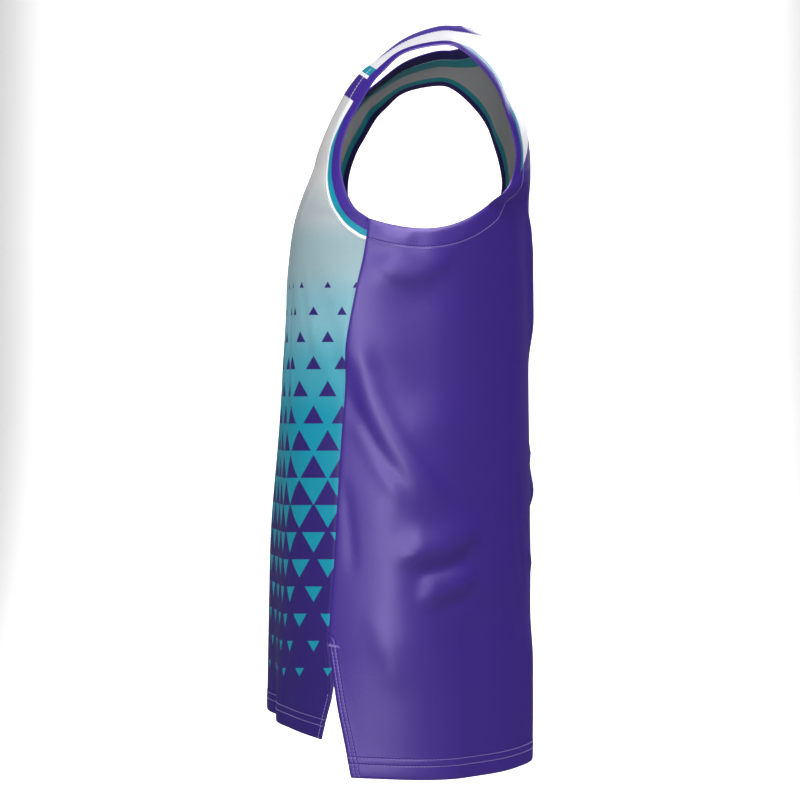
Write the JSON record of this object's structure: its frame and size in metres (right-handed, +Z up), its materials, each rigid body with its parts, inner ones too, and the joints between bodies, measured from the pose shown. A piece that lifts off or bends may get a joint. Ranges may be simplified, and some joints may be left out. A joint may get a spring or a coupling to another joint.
{
  "type": "basketball jersey",
  "caption": "Sleeveless men's basketball jersey, filled out as worn, with neckband, wide armholes, side vents and a longer back hem.",
  "frame": {"origin": "midway between the two shoulder straps, level with the middle of each strap's top, where a wearer's shoulders hold the jersey up", "axes": "+Z up, -Y towards the front of the jersey, +X towards the wearer's left"},
  "size_m": [0.458, 0.2751, 0.7475],
  "materials": {
    "front_cloth": "smooth knitted polyester, printed",
    "back_cloth": "smooth knitted polyester with a soft sheen",
    "neckband_cloth": "knitted binding with a soft sheen",
    "tape_cloth": "matt twill tape"
  },
  "bodies": {
    "root": {"front_panel": "front_cloth", "back_panel": "back_cloth", "neckband": "neckband_cloth", "neck_tape": "tape_cloth"}
  },
  "joints": []
}
